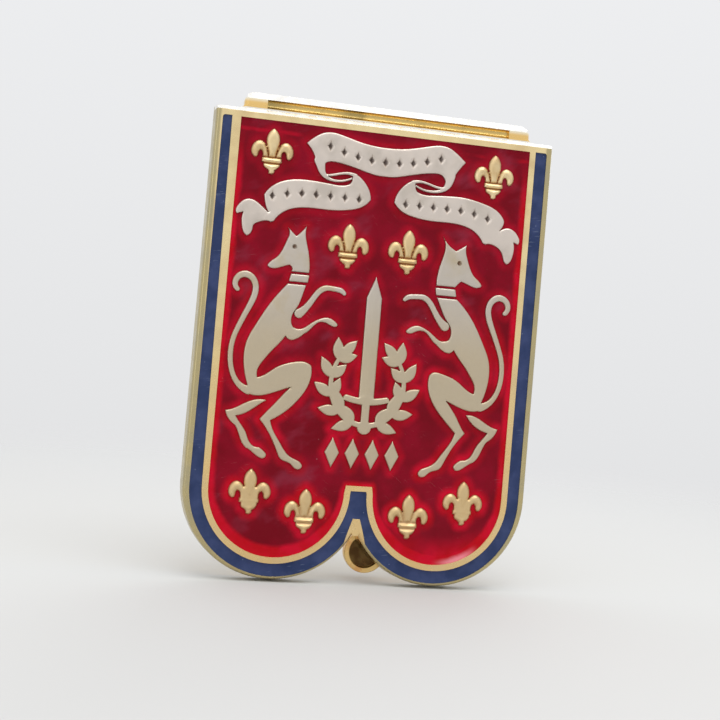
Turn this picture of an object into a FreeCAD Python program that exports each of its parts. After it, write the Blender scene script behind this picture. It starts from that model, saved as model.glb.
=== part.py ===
import FreeCAD
import Part
import math
import os

from FreeCAD import Vector

# Enamelled die-struck cap badge, worn upright with its pin behind it.
# Frame: +Z up, +X to the right seen from the front, the front faces -Y.
# Origin: on the plate's flat back, on the centre line, 20.42 mm below the plate's top edge.
# All sizes are in millimetres.

# Plate: a banner with a straight top and two round lobes.
PLATE_TOP = 20.42
PLATE_LOBE_X = 7.13
PLATE_LOBE_Z = -11.3
PLATE_LOBE_RADIUS = 7.96
PLATE_CORNER = 0.16
NOTCH_WEB = ((-0.7, -14.2), (0.7, -14.2), (0.2, -15.08), (-0.2, -15.08))

# The left edge, the left channel and the left of the red field lean in towards the top.
EDGE_LEAN = 0.26
FIELD_LEAN = 0.22

# Bevels along the top edges of the plate and of the rod.
PLATE_BEVEL = 0.46
ROD_BEVEL = 0.62

# Depths, measured forward from the back face.
PLATE_DEPTH = 1.8
CELL_FLOOR = 1.05
BLUE_DEPTH = 1.68
RED_DEPTH = 1.65
SILVER_DEPTH = 1.86
GILT_DEPTH = 1.95
WEB_DEPTH = 1.25
ROD_DEPTH = 1.35

# The struck edge: how far each step of the outer wall is drawn in, and its depth.
EDGE_STEPS = ((0.0, 0.0), (0.1, 1.35), (0.15, 1.58), (0.24, 1.73), (0.36, PLATE_DEPTH))

# Blue channel and red field.
BLUE_TOP = 19.5
BLUE_CORNER = 0.22
BLUE_OUTER = {"lobe_x": 7.0, "lobe_z": -11.45, "radius": 7.42}
BLUE_NOTCH = ((-0.3, -13.62), (0.3, -13.62), (0.62, -14.6), (0.95, -15.8), (-0.95, -15.8), (-0.62, -14.6))
CELL_LOBE_X = 7.05
CELL_LOBE_Z = -11.45
WALL_OUTER_RADIUS = 6.33
WALL_INNER_RADIUS = 5.8
WALL_OUTER_PEAK = (0.68, -11.25)
WALL_INNER_PEAK = (1.14, -10.8)
RED_TOP = 19.47

# Rod that the banner hangs from.
ROD_X = 0.24
ROD_HALF = 12.6
ROD_TOP = 21.85
ROD_CORNER = 0.85
ROD_FOOT = 0.35
ROD_CHAMFER = 0.25
GROOVE_HALF = 10.7
GROOVE_Z = 20.85
GROOVE_RADIUS = 0.36

# Charges.
FLEUR_PLACES = {
    "top": (9.78, 16.12),
    "middle": (2.63, 8.82),
    "outer": (9.35, -12.55),
    "inner": (4.53, -13.97),
}
FLEUR_RISE = 2.72
HOUNDS = {
    "right": {
        "nape": -0.2,
        "throat": -0.17,
        "near_ear": ((5.62, 11.3), (6.2, 10.58)),
        "crown": (6.9, 10.12),
        "far_ear": (7.8, 10.72),
        "thigh": 0.2,
        "knee": (7.1, -2.95),
        "hock": (9.0, -4.05),
    },
    "left": {
        "nape": 0.27,
        "throat": 0.1,
        "near_ear": ((6.34, 10.95), (6.75, 10.42)),
        "crown": (7.18, 10.0),
        "far_ear": (7.92, 10.66),
        "thigh": -0.22,
        "knee": (6.65, -2.8),
        "hock": (8.55, -4.02),
    },
}
RIBBON_SIDES = {
    "right": {"end": 0.4, "fold": 0.16, "tail": (0.0, 0.0), "tip": 0.0},
    "left": {"end": -0.4, "fold": -0.05, "tail": (-0.08, 0.14), "tip": 0.2},
}
EYE_PLACE = (7.26, 9.1)
EYE_RADIUS = 0.16
LOZENGE_X = (-2.62, -0.87, 0.87, 2.62)
LOZENGE_Z = -8.05
LOZENGE_HALF_WIDTH = 0.64
LOZENGE_HALF_HEIGHT = 1.3
GROOVE_CUT = 0.15

# Pin fittings on the back, on one upright line beside the centre line.
PIN_X = 1.4
PIN_Y = 2.4
PIN_RADIUS = 0.4
PIN_TIP_RADIUS = 0.08
PIN_TAPER_Z = -14.8
PIN_TIP_Z = -18.0
HINGE_Z = 10.5
CATCH_Z = -16.7
DISH_RADIUS = 1.85
DISH_RIM = 0.45
DISH_FLOOR = 0.45
DISH_DEPTH = 0.9
RIVET_RADIUS = 0.35
RIVET_HEAD_RADIUS = 0.6
RIVET_HEAD = 0.25
KNUCKLE_RADIUS = 0.78
KNUCKLE_HALF = 0.45
KNUCKLE_FIT = 0.05
EAR_INNER = 0.57
EAR_OUTER = 1.02
EAR_RADIUS = 0.64
CATCH_BORE = 0.65
CATCH_RADIUS = 0.95
CATCH_HALF = 1.15
CATCH_SLOT = 0.56
COLLAR_RADIUS = 1.12
COLLAR_LENGTH = 0.3
SLEEVE_FIT = 0.07
SLEEVE_RADIUS = 1.22
SLEEVE_HALF = 0.76
SLEEVE_SLOT = 0.62
TAB_LENGTH = 1.0
TAB_HALF = 0.55
TAB_THICK = 0.35


def shifted(points, x_shift, z_shift=0.0):
    """The same points, moved across and up."""
    return [(x + x_shift, z + z_shift) for x, z in points]


def spot(x, z, depth=0.0):
    """Point of the badge's face, a depth in front of the back."""
    return Vector(x, -depth, z)


def smooth(points, depth=0.0):
    """Edge through the points: straight for two, a spline for more."""
    places = [spot(x, z, depth) for x, z in points]
    if len(places) == 2:
        return Part.makeLine(places[0], places[1])
    curve = Part.BSplineCurve()
    curve.interpolate(places)
    return curve.toShape()


def closed_face(*runs):
    """Face inside a closed outline of runs that each start where the last one ended."""
    joined = []
    for run, following in zip(runs, runs[1:] + runs[:1]):
        joined.append(smooth(list(run) + [following[0]]))
    return Part.Face(Part.Wire(joined))


def band(points, widths):
    """Face of a band along a smooth centre line, with its width at each point and round ends."""
    centre = Part.BSplineCurve()
    centre.interpolate([spot(x, z) for x, z in points])
    left = []
    right = []
    for (x, z), width in zip(points, widths):
        along = centre.tangent(centre.parameter(spot(x, z)))[0]
        side_x = -along.z * width / 2
        side_z = along.x * width / 2
        left.append((x + side_x, z + side_z))
        right.append((x - side_x, z - side_z))
    start_along = centre.tangent(centre.FirstParameter)[0]
    end_along = centre.tangent(centre.LastParameter)[0]
    start_cap = centre.value(centre.FirstParameter) - start_along * (widths[0] / 2)
    end_cap = centre.value(centre.LastParameter) + end_along * (widths[-1] / 2)
    edges = [
        smooth(left),
        Part.Arc(spot(*left[-1]), end_cap, spot(*right[-1])).toShape(),
        smooth(right[::-1]),
        Part.Arc(spot(*right[0]), start_cap, spot(*left[0])).toShape(),
    ]
    return Part.Face(Part.Wire(edges))


def raise_face(face, low, high):
    """Solid standing on a face, from one depth to another."""
    solid = face.extrude(Vector(0, low - high, 0))
    solid.translate(Vector(0, -low, 0))
    return solid


def merge(solids):
    """One solid from several that overlap."""
    return solids[0].fuse(solids[1:]).removeSplitter()


def merge_faces(faces):
    """One flat outline from several faces of the badge's plane that overlap."""
    block = merge([raise_face(face, 0, 1) for face in faces])
    return Part.Compound([face for face in block.Faces if face.BoundBox.YMin > -0.001])


def mirrored(shape):
    """The same shape on the other side of the centre line."""
    return shape.mirror(Vector(0, 0, 0), Vector(1, 0, 0))


def arc(x, z, radius, start, end, depth=0.0):
    """Arc edge about a point of the face, between two angles in degrees."""
    places = []
    for angle in (start, (start + end) / 2, end):
        turn = math.radians(angle)
        places.append(spot(x + radius * math.cos(turn), z + radius * math.sin(turn), depth))
    return Part.Arc(*places).toShape()


def banner_wire(lobe_x, lobe_z, radius, top, corner, depth=0.0):
    """Outline with a straight top, round corners, a leaning left edge and two lobes that meet in a notch."""
    side = lobe_x + radius
    notch = math.degrees(math.acos(lobe_x / radius))
    low_corner = top - corner
    inner = side - corner
    left = EDGE_LEAN - inner
    edges = [
        smooth([(left, top), (inner, top)], depth),
        arc(inner, low_corner, corner, 90, 0, depth),
        smooth([(side, low_corner), (side, lobe_z)], depth),
        arc(lobe_x, lobe_z, radius, 0, notch - 180, depth),
        arc(-lobe_x, lobe_z, radius, -notch, -180, depth),
        smooth([(-side, lobe_z), (left - corner, low_corner)], depth),
        arc(left, low_corner, corner, 180, 90, depth),
    ]
    return Part.Wire(edges)


def field_face(radius, peak, top, lean=0.0):
    """Field with a straight top, two lobes, a flat-topped peak between them and a leaning left side."""
    side = CELL_LOBE_X + radius
    peak_x, peak_z = peak
    foot = CELL_LOBE_X - radius
    edges = [
        smooth([(lean - side, top), (side, top)]),
        smooth([(side, top), (side, CELL_LOBE_Z)]),
        arc(CELL_LOBE_X, CELL_LOBE_Z, radius, 0, -180),
        smooth([(foot, CELL_LOBE_Z), (peak_x, peak_z)]),
        smooth([(peak_x, peak_z), (-peak_x, peak_z)]),
        smooth([(-peak_x, peak_z), (-foot, CELL_LOBE_Z)]),
        arc(-CELL_LOBE_X, CELL_LOBE_Z, radius, 0, -180),
        smooth([(-side, CELL_LOBE_Z), (lean - side, top)]),
    ]
    return Part.Face(Part.Wire(edges))


def blue_face():
    """Channel down both sides and round the lobes."""
    outer = banner_wire(
        BLUE_OUTER["lobe_x"], BLUE_OUTER["lobe_z"], BLUE_OUTER["radius"], BLUE_TOP, BLUE_CORNER
    )
    wall = field_face(WALL_OUTER_RADIUS, WALL_OUTER_PEAK, BLUE_TOP + 1)
    notch = closed_face(*[[place] for place in BLUE_NOTCH])
    return Part.Face(outer).cut([wall, notch]).Faces[0]


def red_face():
    """Field inside the inner wall."""
    return field_face(WALL_INNER_RADIUS, WALL_INNER_PEAK, RED_TOP, FIELD_LEAN)


def red_enamel(outlines, webs):
    """Filling of the red field round every charge and over the hounds' webs."""
    return raise_face(red_face().cut(outlines), CELL_FLOOR, RED_DEPTH).cut(webs)


def bevel_cut(top, depth, size):
    """Wedge that bevels an upper front edge, right across the badge."""
    corners = [
        Vector(-20, -depth - 0.1, top - size - 0.1),
        Vector(-20, -depth - 0.1, top + 0.1),
        Vector(-20, size + 0.1 - depth, top + 0.1),
    ]
    return Part.Face(Part.makePolygon(corners + corners[:1])).extrude(Vector(40, 0, 0))


def rod():
    """Grooved rod above the banner, with its upper edge bevelled, its ends rounded and its feet filleted."""
    inner = ROD_HALF - ROD_CORNER
    outer = ROD_HALF + ROD_FOOT
    shoulder = ROD_TOP - ROD_CORNER
    foot = PLATE_TOP + ROD_FOOT
    low = PLATE_TOP - 1
    edges = [
        smooth([(-inner, ROD_TOP), (inner, ROD_TOP)]),
        arc(inner, shoulder, ROD_CORNER, 90, 0),
        smooth([(ROD_HALF, shoulder), (ROD_HALF, foot)]),
        arc(outer, foot, ROD_FOOT, 180, 270),
        smooth([(outer, PLATE_TOP), (outer, low)]),
        smooth([(outer, low), (-outer, low)]),
        smooth([(-outer, low), (-outer, PLATE_TOP)]),
        arc(-outer, foot, ROD_FOOT, -90, 0),
        smooth([(-ROD_HALF, foot), (-ROD_HALF, shoulder)]),
        arc(-inner, shoulder, ROD_CORNER, 180, 90),
    ]
    solid = raise_face(Part.Face(Part.Wire(edges)), 0, ROD_DEPTH)
    rounded = [
        edge
        for edge in solid.Edges
        if edge.BoundBox.YMax < 0.01 - ROD_DEPTH and edge.BoundBox.ZMax > low + 0.01
    ]
    solid = solid.makeChamfer(ROD_CHAMFER, rounded)
    groove = Part.makeCylinder(
        GROOVE_RADIUS,
        2 * GROOVE_HALF,
        Vector(-GROOVE_HALF, -ROD_DEPTH, GROOVE_Z),
        Vector(1, 0, 0),
    )
    solid = solid.cut([groove, bevel_cut(ROD_TOP, ROD_DEPTH, ROD_BEVEL)])
    solid.translate(Vector(ROD_X, 0, 0))
    return solid


def base_plate():
    """Struck plate: drafted outer wall, rod, and the sunk cells for the enamel."""
    wires = []
    for inset, depth in EDGE_STEPS:
        wires.append(
            banner_wire(
                PLATE_LOBE_X,
                PLATE_LOBE_Z,
                PLATE_LOBE_RADIUS - inset,
                PLATE_TOP - inset,
                PLATE_CORNER,
                depth,
            )
        )
    body = Part.makeLoft(wires, True, True)
    web = raise_face(closed_face(*[[place] for place in NOTCH_WEB]), 0, PLATE_DEPTH)
    body = merge([body, web]).cut(bevel_cut(PLATE_TOP, PLATE_DEPTH, PLATE_BEVEL))
    body = merge([body, rod()])
    cells = [
        raise_face(red_face(), CELL_FLOOR, PLATE_DEPTH + 1),
        raise_face(blue_face(), CELL_FLOOR, PLATE_DEPTH + 1),
    ]
    return body.cut(cells)


def hound(form):
    """Rampant hound, drawn on the right: back to the edge, head turned outward, forelegs to the centre."""
    nape = form["nape"]
    throat = form["throat"]
    thigh = form["thigh"]
    head = closed_face(
        shifted([(5.55, 6.98), (5.6, 8.0), (5.8, 8.95), (6.05, 9.85)], nape),
        form["near_ear"],
        [form["crown"]],
        [form["far_ear"], (7.78, 10.2)],
        [(7.9, 9.72), (8.2, 8.92), (8.68, 8.1), (9.3, 7.55), (9.42, 7.28), (9.2, 7.13), (8.6, 7.14)],
        [(7.55, 7.5), (7.32, 7.28)],
        [(7.25 + throat, 6.98)],
    )
    collar = closed_face(
        [(5.5 + nape, 6.8)],
        [(7.28 + throat, 6.8)],
        [(7.42 + throat, 6.14)],
        [(5.6 + nape, 6.14)],
    )
    trunk = closed_face(
        [(5.72 + nape, 5.94), (6.1 + nape * 0.6, 4.95), (6.5 + nape * 0.2, 4.1), (6.92, 3.45), (7.02, 2.85)],
        [(6.82, 2.32), (6.0, 2.28), (5.35, 2.75), (4.6, 3.2), (3.95, 3.36), (3.4, 3.18)],
        [(2.98, 2.82), (3.2, 2.62), (3.62, 2.7), (4.05, 2.9), (4.6, 2.9), (5.13, 2.47)],
        [(5.8, 1.85), (6.4, 1.36), (6.95, 1.2)],
        [(7.4, 1.5), (7.95, 0.75), (8.55, 0.05), (9.1, -0.7), (9.48, -1.35)],
        [(9.5, -2.15), (8.65, -1.7), (8.0, -1.2), (7.2, -0.82), (6.4, -0.6), (5.7 + thigh * 0.5, -0.55)],
        shifted([(5.2, -0.85), (5.12, -1.4), (5.2, -2.1), (5.5, -2.9), (6.05, -3.75), (6.75, -4.55)], thigh),
        [(8.1, -5.7), (7.65, -6.75), (7.08, -7.58), (6.5, -8.38), (5.9, -8.78), (5.35, -9.02)],
        [(5.08, -9.35), (5.3, -9.68), (5.65, -9.66), (6.1, -9.27), (6.85, -8.98)],
        [(7.2, -8.6), (7.55, -7.85), (7.98, -7.05), (8.45, -6.35)],
        [(9.03, -5.65), (8.6, -5.1), (8.1 + thigh * 0.5, -4.4), (7.5 + thigh * 0.7, -3.6)],
        [form["knee"], (7.85, -3.28), (8.5, -3.52), (9.3, -3.7), (9.95, -3.65)],
        [(10.5, -3.35)],
        [(10.27, -2.9), (10.6, -1.9), (10.8, -0.5), (10.62, 0.95), (10.1, 2.1), (9.1, 3.9)],
        [(7.48 + throat, 5.94)],
    )
    tail = band(
        [
            (10.2, -3.3), (11.2, -2.65), (11.75, -1.55), (11.92, -0.3), (11.8, 0.9), (11.35, 2.2),
            (10.8, 3.45), (10.35, 4.55), (10.25, 5.4), (10.55, 6.1), (11.15, 6.4), (11.75, 6.18),
            (12.0, 5.6), (11.76, 5.1),
        ],
        [0.75, 0.5, 0.46, 0.46, 0.46, 0.47, 0.5, 0.54, 0.54, 0.56, 0.58, 0.54, 0.5, 0.42],
    )
    foreleg = band(
        [
            (6.42, 3.5), (5.9, 4.0), (5.35, 4.78), (4.85, 5.5), (4.3, 5.84), (3.6, 5.84), (3.0, 5.76),
            (2.66, 5.52),
        ],
        [0.82, 0.62, 0.52, 0.52, 0.5, 0.44, 0.46, 0.36],
    )
    far_leg = closed_face(
        [form["hock"], (9.7, -4.08), (10.45, -4.42), (11.1, -4.8)],
        [(11.98, -5.08), (11.86, -5.42)],
        [(11.05, -6.3), (10.65, -7.1), (10.25, -7.88)],
        [(9.97, -8.15), (9.47, -8.43), (8.9, -8.84), (8.42, -8.93), (8.22, -8.7), (8.45, -8.3)],
        [(8.9, -8.02), (9.58, -7.77), (9.85, -7.38), (10.08, -6.85), (10.53, -6.2)],
        [(11.05, -5.5), (10.2, -5.2), (9.55, -4.75)],
    )
    return merge_faces([head, collar, trunk, tail, foreleg, far_leg])


def hound_webs():
    """Outlines of the thin webs that join the head, collar, foreleg and far leg to the trunk."""
    return [
        closed_face([(6.1, 7.2)], [(6.9, 7.2)], [(6.9, 5.5)], [(6.1, 5.5)]),
        closed_face([(6.2, 3.7)], [(7.3, 3.5)], [(7.3, 3.0)], [(6.3, 3.2)]),
        closed_face([(9.5, -3.4)], [(9.9, -3.4)], [(9.9, -4.4)], [(9.5, -4.4)]),
    ]


def hound_solid(outline, webs):
    """Hound raised from its outline, with its webs and the punched dot of its eye."""
    solid = raise_face(outline, CELL_FLOOR, SILVER_DEPTH).fuse(webs)
    side = 1 if outline.BoundBox.Center.x > 0 else -1
    eye_place = spot(side * EYE_PLACE[0], EYE_PLACE[1], SILVER_DEPTH - GROOVE_CUT)
    return solid.cut(Part.makeCylinder(EYE_RADIUS, 1, eye_place, Vector(0, -1, 0)))


def ribbon_middle():
    """Middle length of the ribbon, its ends pointed and its waist low."""
    upper = [
        (0, 18.3), (1, 18.34), (2, 18.47), (3, 18.7), (4, 18.96), (4.75, 19.07), (5.4, 19.0), (6.1, 18.66),
    ]
    lower = [
        (5.42, 15.9), (5.3, 16.26), (5.05, 16.5), (4.63, 16.6), (4.1, 16.57), (3.3, 16.44), (2.2, 16.18),
        (1.1, 15.91),
    ]
    return closed_face(
        upper,
        [(7.12, 17.85), (6.5, 17.05)],
        [(6.05, 16.25)],
        lower,
        [(0, 15.83)] + [(-x, z) for x, z in lower[::-1]],
        [(-6.0, 16.25), (-6.22, 16.98)],
        [(-6.95, 17.92)] + [(-x, z) for x, z in upper[:0:-1]],
    )


def ribbon_side(form):
    """Side length of the ribbon, drawn on the right: its fold, its length and its forked tail."""
    end = form["end"]
    fold = form["fold"]
    tail_x, tail_z = form["tail"]
    tip = form["tip"]
    length = closed_face(
        [(1.03, 13.72), (1.22, 14.5), (1.7, 15.2), (2.3, 15.68)],
        [(2.85, 15.86), (2.78, 15.35), (2.92, 14.95), (3.3, 14.74)],
        [
            (4.05, 14.67), (5.0, 14.75), (6.0, 14.81), (7.05, 14.82), (7.95, 14.72),
            (8.85 + end * 0.3, 14.5), (9.75 + end * 0.8, 14.12),
        ],
        [(10.6 + end, 13.2), (10.48 + end, 12.6), (10.2 + end * 0.7, 12.12), (9.75 + end * 0.3, 11.6)],
        [(9.5, 10.95)],
        [
            (9.2, 11.05), (8.75, 11.65), (8.0, 12.15), (7.0, 12.42), (5.6, 12.48), (4.2, 12.48),
            (3.0, 12.62), (2.0, 12.9),
        ],
    )
    tail = closed_face(
        shifted(
            [
                (9.72, 11.56), (10.3, 12.02), (10.8, 12.38), (11.4, 12.58), (11.95, 12.42),
                (12.35, 12.02), (12.55, 11.58),
            ],
            tail_x,
            tail_z,
        ),
        shifted([(12.44, 11.22)], tail_x, tail_z),
        shifted([(12.02, 11.38), (12.12, 10.9), (12.07, 10.3), (11.87, 9.68)], -tip, tip),
        shifted([(11.58, 9.42), (11.3, 9.6), (11.12, 10.1)], -tip, tip)
        + [(10.9, 10.5), (10.5, 10.82), (9.9, 11.02)],
        [(9.42, 10.95)],
    )
    outer_fold = band(
        [
            (5.8 + fold * 0.4, 16.6), (5.6 + fold, 16.05), (5.42 + fold, 15.58), (5.0 + fold * 0.7, 15.2),
            (4.3, 15.02), (3.5, 15.1), (2.85, 15.36),
        ],
        [0.84, 0.74, 0.54, 0.34, 0.24, 0.2, 0.18],
    )
    inner_fold = band(
        [(2.5, 15.62), (3.2, 15.76), (3.95, 15.64), (4.6, 15.46), (5.2, 15.42)],
        [0.36, 0.26, 0.22, 0.22, 0.2],
    )
    return [length, tail, outer_fold, inner_fold]


def ribbon_marks():
    """Rows of small incised lozenges along the three lengths of the ribbon."""
    places = []
    for step in range(-4, 5):
        x = 1.22 * step
        places.append((x, 17.05 + 0.036 * x * x))
    for step in range(7):
        x = 2.05 + 1.24 * step
        z = 13.68 - 0.045 * max(0, x - 6.2) ** 2
        places.append((x, z))
        places.append((-x, z))
    cuts = []
    for x, z in places:
        mark = closed_face([(x, z + 0.42)], [(x + 0.25, z)], [(x, z - 0.42)], [(x - 0.25, z)])
        cuts.append(raise_face(mark, SILVER_DEPTH - GROOVE_CUT, SILVER_DEPTH + 1))
    return cuts


def ribbon():
    """Outline of the whole ribbon: the middle, and both sides with their folds and tails."""
    right = ribbon_side(RIBBON_SIDES["right"])
    left = [mirrored(face) for face in ribbon_side(RIBBON_SIDES["left"])]
    return merge_faces([ribbon_middle()] + right + left)


def leaf(x, z, angle, length, width):
    """Pointed leaf that starts at a point and lies at an angle in degrees."""
    turn = math.radians(angle)

    def place(along, aside):
        return (
            x + along * math.cos(turn) - aside * math.sin(turn),
            z + along * math.sin(turn) + aside * math.cos(turn),
        )

    half = width / 2
    side = [(0.25 * length, 0.85 * half), (0.5 * length, half), (0.8 * length, 0.55 * half)]
    return closed_face(
        [place(0, 0)] + [place(along, aside) for along, aside in side],
        [place(length, 0)] + [place(along, -aside) for along, aside in side[::-1]],
    )


def wreath_faces():
    """Right-hand branch of the wreath: a stem with paired leaves and one at the tip."""
    radius_x = 3.2
    radius_z = 3.55
    centre_z = -2.05
    stem = []
    for angle in range(-84, 41, 31):
        turn = math.radians(angle)
        stem.append((radius_x * math.cos(turn), centre_z + radius_z * math.sin(turn)))
    faces = [band(stem, [0.5, 0.5, 0.46, 0.42, 0.36])]
    for angle in range(-72, 40, 26):
        turn = math.radians(angle)
        x = radius_x * math.cos(turn)
        z = centre_z + radius_z * math.sin(turn)
        faces.append(leaf(x, z, angle + 90 - 36, 2.0, 0.95))
        faces.append(leaf(x, z, angle + 90 + 40, 1.75, 0.9))
    tip_x, tip_z = stem[-1]
    faces.append(leaf(tip_x, tip_z, 132, 1.9, 0.9))
    return faces


def sword_faces():
    """Upright sword: pointed blade, cross guard, grip and round pommel."""
    blade = closed_face([(-0.68, -3.3)], [(-0.68, 5.4)], [(0, 7.2)], [(0.68, 5.4)], [(0.68, -3.3)])
    guard = band([(-1.75, -3.3), (0, -3.55), (1.75, -3.3)], [0.55, 0.6, 0.55])
    grip = closed_face([(-0.36, -5.4)], [(-0.36, -3.3)], [(0.36, -3.3)], [(0.36, -5.4)])
    pommel = Part.Face(Part.Wire([arc(0, -5.75, 0.62, 0, 180), arc(0, -5.75, 0.62, 180, 360)]))
    return [blade, guard, grip, pommel]


def centre_ornament():
    """Outline of the sword within its wreath."""
    right = wreath_faces()
    left = [mirrored(face) for face in right]
    return merge_faces(sword_faces() + right + left)


def lozenge(x):
    """Outline of one lozenge of the row below the ornament."""
    return closed_face(
        [(x, LOZENGE_Z + LOZENGE_HALF_HEIGHT)],
        [(x + LOZENGE_HALF_WIDTH, LOZENGE_Z)],
        [(x, LOZENGE_Z - LOZENGE_HALF_HEIGHT)],
        [(x - LOZENGE_HALF_WIDTH, LOZENGE_Z)],
    )


def fleur():
    """Outline of a fleur-de-lis about the middle of its cross-band."""
    petal = closed_face(
        [(0.0, 2.72), (0.36, 2.4), (0.57, 1.88), (0.54, 1.34), (0.4, 0.84)],
        [(0.34, 0.1)],
        [(-0.34, 0.1), (-0.4, 0.84), (-0.54, 1.34), (-0.57, 1.88), (-0.36, 2.4)],
    )
    side = closed_face(
        [(0.15, 0.1), (0.3, 0.75), (0.62, 1.34), (1.06, 1.61), (1.5, 1.46), (1.78, 1.0), (1.77, 0.47)],
        [(1.47, 0.14), (1.2, 0.3), (1.13, 0.62)],
        [(1.0, 0.78), (0.86, 0.66), (0.8, 0.38)],
        [(0.76, 0.1)],
    )
    cross = closed_face([(-0.86, -0.2)], [(-0.86, 0.2)], [(0.86, 0.2)], [(0.86, -0.2)])
    base = closed_face(
        [(-0.7, -0.1)],
        [(-0.7, -0.42), (-0.52, -0.68), (-0.3, -0.82)],
        [(-0.23, -1.1), (0, -1.17), (0.23, -1.1)],
        [(0.3, -0.82), (0.52, -0.68), (0.7, -0.42)],
        [(0.7, -0.1)],
    )
    return merge_faces([petal, side, mirrored(side), cross, base])


def fleur_solid(outline):
    """Fleur-de-lis raised from its outline, with a groove above and below its cross-band."""
    solid = raise_face(outline, CELL_FLOOR, GILT_DEPTH)
    middle = outline.BoundBox.Center.x
    band_z = outline.BoundBox.ZMax - FLEUR_RISE
    for groove_z in (band_z + 0.27, band_z - 0.27):
        corner = spot(middle - 2, groove_z - 0.05, GILT_DEPTH + 1)
        solid = solid.cut(Part.makeBox(4, 1 + GROOVE_CUT, 0.1, corner))
    return solid


def upright_tube(radius, bore, low, high):
    """Tube about the pin's line between two heights."""
    foot = Vector(PIN_X, PIN_Y, low)
    outer = Part.makeCylinder(radius, high - low, foot)
    return outer.cut(Part.makeCylinder(bore, high - low, foot))


def backward_slot(half_width, low, high):
    """Block that opens a tube on the pin's line towards the back."""
    return Part.makeBox(2 * half_width, 5, high - low, Vector(PIN_X - half_width, PIN_Y, low))


def dish(z):
    """Round pressed dish that a fitting stands on, its rim soldered to the plate."""
    back = Vector(0, 1, 0)
    disc = Part.makeCylinder(DISH_RADIUS, DISH_DEPTH, Vector(PIN_X, 0, z), back)
    hollow = Part.makeCylinder(DISH_RADIUS - DISH_RIM, DISH_FLOOR, Vector(PIN_X, 0, z), back)
    return disc.cut(hollow)


def hinge_base():
    """Dish with two ears that hold the rivet."""
    parts = [dish(HINGE_Z)]
    for low_x in (PIN_X + EAR_INNER, PIN_X - EAR_OUTER):
        width = EAR_OUTER - EAR_INNER
        upright = Part.makeBox(
            width,
            PIN_Y - DISH_FLOOR - 0.1,
            2 * EAR_RADIUS,
            Vector(low_x, DISH_FLOOR + 0.1, HINGE_Z - EAR_RADIUS),
        )
        crown = Part.makeCylinder(EAR_RADIUS, width, Vector(low_x, PIN_Y, HINGE_Z), Vector(1, 0, 0))
        parts.extend([upright, crown])
    hole = Part.makeCylinder(
        RIVET_RADIUS,
        2 * EAR_OUTER,
        Vector(PIN_X - EAR_OUTER, PIN_Y, HINGE_Z),
        Vector(1, 0, 0),
    )
    return merge(parts).cut(hole)


def hinge_rivet():
    """Rivet through the ears, headed at both ends."""
    across = Vector(1, 0, 0)
    shank = Part.makeCylinder(RIVET_RADIUS, 2 * EAR_OUTER, Vector(PIN_X - EAR_OUTER, PIN_Y, HINGE_Z), across)
    heads = []
    for low_x in (PIN_X + EAR_OUTER, PIN_X - EAR_OUTER - RIVET_HEAD):
        heads.append(Part.makeCylinder(RIVET_HEAD_RADIUS, RIVET_HEAD, Vector(low_x, PIN_Y, HINGE_Z), across))
    return merge([shank] + heads)


def brooch_pin():
    """Pin: an eye on the rivet, a straight wire and a tapered point."""
    across = Vector(1, 0, 0)
    down = Vector(0, 0, -1)
    eye = Part.makeCylinder(
        KNUCKLE_RADIUS, 2 * KNUCKLE_HALF, Vector(PIN_X - KNUCKLE_HALF, PIN_Y, HINGE_Z), across
    )
    wire = Part.makeCylinder(PIN_RADIUS, HINGE_Z - PIN_TAPER_Z, Vector(PIN_X, PIN_Y, HINGE_Z), down)
    point = Part.makeCone(
        PIN_RADIUS, PIN_TIP_RADIUS, PIN_TAPER_Z - PIN_TIP_Z, Vector(PIN_X, PIN_Y, PIN_TAPER_Z), down
    )
    bore = Part.makeCylinder(
        RIVET_RADIUS + KNUCKLE_FIT, 2 * KNUCKLE_HALF, Vector(PIN_X - KNUCKLE_HALF, PIN_Y, HINGE_Z), across
    )
    return merge([eye, wire, point]).cut(bore)


def catch_base():
    """Dish with an open tube for the pin's point, and a collar at each end of the tube."""
    low = CATCH_Z - CATCH_HALF
    high = CATCH_Z + CATCH_HALF
    parts = [dish(CATCH_Z), upright_tube(CATCH_RADIUS, CATCH_BORE, low, high)]
    for collar_low in (low, high - COLLAR_LENGTH):
        collar_high = collar_low + COLLAR_LENGTH
        parts.append(upright_tube(COLLAR_RADIUS, CATCH_BORE, collar_low, collar_high))
        parts.append(
            Part.makeBox(
                1.2,
                PIN_Y - DISH_FLOOR - CATCH_BORE - 0.2,
                COLLAR_LENGTH,
                Vector(PIN_X - 0.6, DISH_FLOOR + 0.1, collar_low),
            )
        )
    return merge(parts).cut(backward_slot(CATCH_SLOT, low, high))


def catch_sleeve():
    """Turning sleeve between the collars, with a finger tab; its gap faces back when it is open."""
    low = CATCH_Z - SLEEVE_HALF
    high = CATCH_Z + SLEEVE_HALF
    ring = upright_tube(SLEEVE_RADIUS, CATCH_RADIUS + SLEEVE_FIT, low, high)
    tab = Part.makeBox(
        TAB_LENGTH + 0.15,
        TAB_THICK,
        2 * TAB_HALF,
        Vector(PIN_X + SLEEVE_RADIUS - 0.15, PIN_Y - TAB_THICK / 2, CATCH_Z - TAB_HALF),
    )
    return merge([ring, tab]).cut(backward_slot(SLEEVE_SLOT, low, high))


def silver_outlines():
    """Flat outlines of the silver charges by name."""
    found = {
        "hound_right": hound(HOUNDS["right"]),
        "hound_left": mirrored(hound(HOUNDS["left"])),
        "ribbon": ribbon(),
        "centre_ornament": centre_ornament(),
    }
    for number, x in enumerate(LOZENGE_X, start=1):
        found["lozenge_" + str(number)] = lozenge(x)
    return found


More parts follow.
